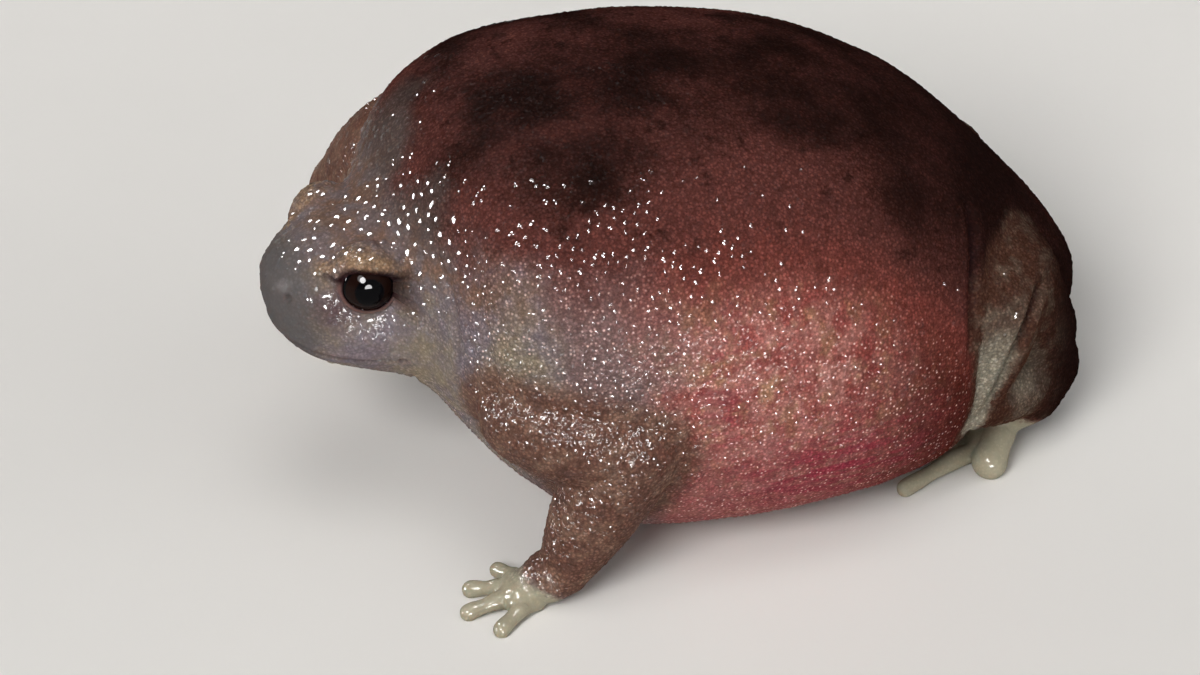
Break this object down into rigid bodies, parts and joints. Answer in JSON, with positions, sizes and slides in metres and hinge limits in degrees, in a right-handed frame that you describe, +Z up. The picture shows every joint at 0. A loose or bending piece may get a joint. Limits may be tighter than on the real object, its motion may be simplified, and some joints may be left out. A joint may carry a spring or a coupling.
{
  "type": "turtle frog",
  "caption": "Still life-size turtle frog, crouched with a round inflated body, a small blunt head turned to its left, and short stout limbs.",
  "frame": {"origin": "middle of the whole outline, on the floor that the belly, hands and feet rest on", "axes": "+X towards the rump, so the frog looks along -X; -Y towards its left side; +Z up"},
  "size_m": [0.0484, 0.0353, 0.0273],
  "materials": {
    "body_skin": "wet, glossy and finely granular, dark maroon above and salmon pink on the flanks",
    "head_skin": "wet and glossy, lilac grey with a tan brow",
    "upper_arm_skin": "wet, brown tan",
    "forearm_skin": "wet, brown tan",
    "hand_skin": "wet, pale greyish tan",
    "thigh_skin": "wet, brown above and pale grey below",
    "shank_skin": "wet, brown",
    "foot_skin": "wet, pale ivory grey",
    "eye": "wet, almost black"
  },
  "bodies": {
    "root": {"torso": "body_skin", "head": "head_skin", "eye_left": "eye", "eye_right": "eye", "upper_arm_left": "upper_arm_skin", "upper_arm_right": "upper_arm_skin", "forearm_left": "forearm_skin", "forearm_right": "forearm_skin", "hand_left": "hand_skin", "hand_right": "hand_skin", "thigh_left": "thigh_skin", "thigh_right": "thigh_skin", "shank_left": "shank_skin", "shank_right": "shank_skin", "foot_left": "foot_skin", "foot_right": "foot_skin"}
  },
  "joints": []
}
